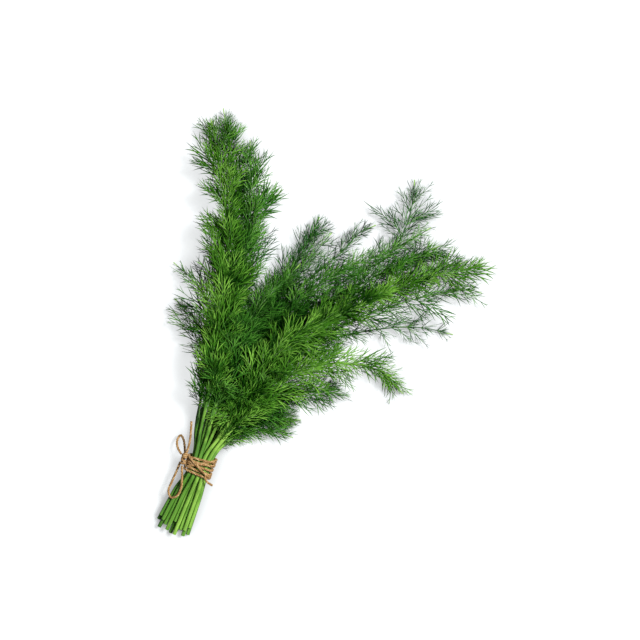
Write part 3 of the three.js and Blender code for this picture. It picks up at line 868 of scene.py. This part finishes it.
# lays copies of the modelled spray and rib in their places, as one mesh
def leafMesh(found, name, material, crown, luck):
    corners, faces, tones = [], [], []
    count = 0
    forms = luck.integers(0, len(sprays), len(found["sprays"]))
    for form, (shape, shapeFaces) in enumerate(sprays):
        chosen = [found["sprays"][i] for i in np.flatnonzero(forms == form)]
        if not chosen:
            continue
        origin, out, up, size, tone = (np.array(column) for column in zip(*chosen))
        axes = np.stack([out, np.cross(up, out), up], axis=1) * size[:, None, None]
        corners.append((origin[:, None, :] + shape @ axes).reshape(-1, 3))
        along = shape[None, :, 0] - shadeAndToneSpec["evenAt"]
        tones.append((tone[:, None] + shadeAndToneSpec["towardsTip"] * along).ravel())
        faces += copiesOf(shapeFaces, len(chosen), len(shape), count)
        count += len(shape) * len(chosen)
    threadFaces = sum(len(f) for f in faces)
    shape, shapeFaces = rib
    for ends, face, width, tone in found["ribs"]:
        side = np.cross(face, unit(ends[2] - ends[0]))
        across = shape[:, 1:2] * side + shape[:, 2:3] * face
        corners.append(bent(ends, shape[:, 0]) + width * across)
        tones.append(np.full(len(shape), tone + shadeAndToneSpec["rib"]))
    faces += copiesOf(shapeFaces, len(found["ribs"]), len(shape), count)
    corners = np.concatenate(corners)
    corners[:, 2] = pressed(corners[:, 2])
    mesh = bpy.data.meshes.new(name)
    mesh.vertices.add(len(corners))
    mesh.vertices.foreach_set("co", corners.astype(np.float32).ravel())
    sizes = np.concatenate([np.full(len(f), f.shape[1]) for f in faces])
    flat = np.concatenate([f.ravel() for f in faces])
    mesh.loops.add(len(flat))
    mesh.loops.foreach_set("vertex_index", flat.astype(np.int32))
    mesh.polygons.add(len(sizes))
    starts = np.concatenate([[0], np.cumsum(sizes)[:-1]])
    isRib = np.arange(len(sizes)) >= threadFaces
    mesh.polygons.foreach_set("loop_start", starts.astype(np.int32))
    mesh.polygons.foreach_set("use_smooth", np.ones(len(sizes), bool))
    mesh.polygons.foreach_set("material_index", isRib.astype(np.int32))
    mesh.update(calc_edges=True)
    mesh.validate()
    # the tone gains painted shade, darker deep in the bunch and where it is thick
    setTones(mesh, np.concatenate(tones) + depthShade(corners, crown))
    mesh.materials.append(material)
    mesh.materials.append(ribMaterial)
    obj = bpy.data.objects.new(name, mesh)
    bpy.context.collection.objects.link(obj)
    return obj


# how far each point of a stem is from the tie to its tip, from 0 to 1
def shareAbove(path, tieAt):
    return np.clip((np.arange(len(path)) - tieAt) / (len(path) - 1 - tieAt), 0, 1)


# how far each point of a stem lies past each node that has a sheath
def pastSheaths(lengths, tieAt, nodes):
    return [lengths - lengths[tieAt] - at * mm
            for at, _, _, angle in nodes if angle == stemForm["sheathAngle"]]


# the stem's own swellings and sheaths, at its nodes
def swollen(radii, sheaths):
    for past in sheaths:
        swelling = np.exp(-(past / stemForm["swellingReach"]) ** 2)
        radii = radii * (1 + stemForm["swelling"] * swelling)
        along = np.clip(past / stemForm["sheathLength"], 0, 1)
        radii = radii * (1 + stemForm["sheath"] * (1 - along) * (past > 0))
    return radii


def stemTones(share, lengths, tieAt, tone, sheaths):
    below = np.clip((lengths[tieAt] - lengths) / stemToneAndShade["belowReach"], 0, 1)
    tones = tone + stemToneAndShade["tip"] * share + stemToneAndShade["below"] * below
    for past in sheaths:
        tones += stemToneAndShade["swelling"] * np.exp(-(past / stemForm["swellingReach"]) ** 2)
        tones += stemToneAndShade["sheath"] * (past > 0) * (past < stemForm["sheathLength"])
    return tones


# the ring of corners at each point of the path comes first in the mesh, and the caps come last
def makeStem(index, path, tieAt, tone, nodes):
    lengths = lengthsOf(path)
    share = shareAbove(path, tieAt)
    sheaths = pastSheaths(lengths, tieAt, nodes)
    taper = bundle["stemRadius"] - stemForm["tipRadius"]
    radii = swollen(stemForm["tipRadius"] + taper * (1 - share) ** 2, sheaths)
    stem = sweep(path, radii, stemSection, f"stem{index}")
    for vertex in stem.data.vertices:
        vertex.co.z = max(vertex.co.z, stemForm["lowest"])
    perRing = len(stem.data.vertices) // len(path)
    onRings = perRing * len(path)
    tones = np.full(len(stem.data.vertices), stemToneAndShade["cut"])
    tones[:onRings] = np.repeat(stemTones(share, lengths, tieAt, tone, sheaths), perRing)
    # painted shade: the recessed corners of the ribbed section, in its grooves, are darker
    tones[:onRings] += np.tile(stemToneAndShade["grooveShade"] * (np.arange(perRing) % 2), len(path))
    setTones(stem.data, tones)
    stem.data.materials.clear()
    stem.data.materials.append(stemMaterial)
    return stem


# each stem's tone, its own colour with painted light in it, mostly lighter for stems on the right
# and in the upper rows and darker for those on the left and low down, and its leaves that stand
# out: place along the frond in mm, side, length in mm and angle off the frond in degrees; those at
# the sheath angle also swell the stem
stemLooks = [
    (0.32, [(24, 1, 62, 9), (77, -1, 29, 50), (71, -1, 22, 67), (96, -1, 28, 21), (75, -1, 22, 57),
            (88, -1, 31, 32)]),
    (0.42, [(22, -1, 62, 9), (102, -1, 36, 38), (120, 1, 30, 12), (113, 1, 29, 19)]),
    (0.38, [(26, 1, 64, 9), (143, -1, 23, 38), (126, -1, 26, 39)]),
    (0.50, [(30, 1, 66, 9), (44, -1, 58, 9), (209, -1, 37, 31), (230, -1, 22, 17),
            (159, -1, 30, 42), (199, -1, 24, 30), (230, 1, 24, 52), (47, 1, 23, 40),
            (172, -1, 26, 62), (213, 1, 30, 31), (189, -1, 24, 32)]),
    (0.36, [(22, -1, 60, 9), (190, 1, 26, 29), (207, 1, 26, 25), (214, 1, 30, 43),
            (231, 1, 22, 35), (239, 1, 12, 55)]),
    (0.50, [(26, 1, 60, 9), (181, -1, 28, 27), (193, -1, 28, 20), (175, 1, 39, 40),
            (202, 1, 31, 15), (184, 1, 32, 46), (181, 1, 34, 57)]),
    (0.34, [(24, -1, 58, 9), (158, 1, 24, 29), (143, 1, 31, 30), (137, 1, 28, 29)]),
    (0.60, [(20, -1, 64, 9), (36, 1, 60, 9), (120, -1, 23, 38), (135, -1, 22, 33),
            (147, 1, 17, 16)]),
    (0.46, [(166, -1, 25, 26), (178, 1, 25, 17), (145, -1, 28, 33), (155, -1, 21, 26),
            (115, -1, 23, 46), (126, -1, 26, 36), (140, -1, 20, 35), (178, -1, 25, 3),
            (166, 1, 24, 12)]),
    (0.40, [(28, -1, 60, 9)]),
    (0.52, [(185, -1, 18, 35), (199, -1, 18, 36), (167, 1, 18, 37), (178, 1, 19, 43),
            (154, 1, 22, 17)]),
    (0.62, [(24, 1, 60, 9), (145, -1, 26, 35), (155, -1, 23, 21), (164, -1, 25, 12),
            (155, 1, 26, 34), (170, 1, 28, 26), (206, 1, 24, 24), (161, 1, 19, 12),
            (179, 1, 16, 6), (173, 1, 18, 37), (47, -1, 22, 132)]),
    (0.42, [(228, -1, 37, 69), (236, 1, 33, 41), (251, 1, 25, 30), (245, -1, 24, 40),
            (226, -1, 25, 59), (224, -1, 19, 88), (241, 1, 28, 72), (232, 1, 25, 60),
            (249, 1, 24, 8), (239, 1, 26, 19)]),
    (0.56, [(22, -1, 60, 9), (183, 1, 22, 46), (189, 1, 26, 37), (198, 1, 29, 27),
            (207, 1, 27, 19), (198, -1, 23, 2), (215, 1, 27, 20), (228, 1, 28, 34),
            (235, 1, 25, 21), (220, 1, 23, 42), (48, -1, 24, 170)]),
    (0.46, [(173, 1, 26, 59), (185, 1, 27, 47)]),
    (0.78, [(18, 1, 62, 9), (34, -1, 56, 9), (196, -1, 31, 16), (210, -1, 31, 11),
            (222, -1, 31, 18), (233, 1, 40, 6), (58, -1, 39, 146), (64, -1, 32, 140),
            (180, 1, 21, 33), (193, 1, 24, 28), (206, -1, 24, 12), (105, 1, 32, 40),
            (119, 1, 31, 31), (129, 1, 27, 25), (50, -1, 34, 148), (233, 1, 29, 40)]),
    (0.50, [(167, 1, 20, 68), (180, 1, 22, 55), (187, 1, 25, 39), (187, -1, 31, 23),
            (170, -1, 31, 23)]),
    (0.66, [(26, -1, 60, 9), (90, 1, 29, 61), (107, 1, 30, 41), (117, 1, 24, 34), (127, 1, 20, 33),
            (160, 1, 24, 38), (199, 1, 39, 36), (193, 1, 25, 46), (234, 1, 25, 30),
            (124, 1, 22, 60), (117, 1, 26, 68), (141, 1, 23, 62), (110, 1, 25, 23),
            (49, -1, 29, 155), (226, 1, 25, 27)]),
    (0.56, [(66, -1, 25, 4), (78, 1, 22, 25), (86, -1, 27, 6), (66, 1, 23, 47), (94, 1, 20, 22),
            (109, 1, 20, 6), (57, 1, 21, 44), (64, 1, 23, 39), (102, -1, 19, 10)]),
    (0.82, [(16, -1, 58, 9), (28, 1, 52, 9), (76, 1, 30, 50), (87, 1, 31, 48), (96, 1, 28, 35),
            (82, -1, 27, 29), (93, -1, 24, 13), (101, -1, 30, 16), (133, -1, 36, 18),
            (148, 1, 31, 14), (129, 1, 19, 65), (40, -1, 34, 135), (109, 1, 23, 49),
            (122, 1, 25, 63), (109, -1, 29, 30), (161, 1, 24, 16), (151, 1, 24, 6),
            (51, -1, 38, 158)]),
    (0.60, [(46, -1, 24, 11), (56, -1, 22, 7), (53, 1, 23, 19)]),
    (0.72, [(14, 1, 46, 9), (45, -1, 21, 2), (42, 1, 28, 7)]),
]


def planSprig(index, row, column, cut, leafFrom, longest, tone, fullness, route):
    path, tieAt = stemLine(row, column, cut, route)
    luck = np.random.default_rng(sprigSeed + index)
    found = growFrond(path, tieAt, row, leafFrom, longest, tone, fullness, luck)
    stemTone, nodes = stemLooks[index]
    growStalks(path, tieAt, nodes, tone, fullness, found, luck)
    return {"index": index, "path": path, "tieAt": tieAt, "stemTone": stemTone, "nodes": nodes,
            "found": found, "luck": luck}


def makeSprig(plant, crown):
    index = plant["index"]
    node = f"sprig_{index + 1:02d}"
    slot = next(p["material_slot"] for p in frame["record"]["subparts"] if p["node"] == node)
    stem = makeStem(index, plant["path"], plant["tieAt"], plant["stemTone"], plant["nodes"])
    leaves = leafMesh(plant["found"], f"leaves{index}", leafMaterials[slot], crown, plant["luck"])
    sprig = joinAll([stem, leaves], f"dillSprig{index + 1:02d}")
    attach(sprig, "root")
    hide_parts(node)
    return sprig


plants = [planSprig(index, *entry) for index, entry in enumerate(sprigTable)]
crown = surveyCrown(plants)
print("sprigs planned:", sum(len(plant["found"]["sprays"]) for plant in plants), "sprays")
for plant in plants:
    sprig = makeSprig(plant, crown)
    sprig.data.calc_loop_triangles()
bpy.data.objects.remove(stemSection)
bpy.data.objects.remove(roundSection)
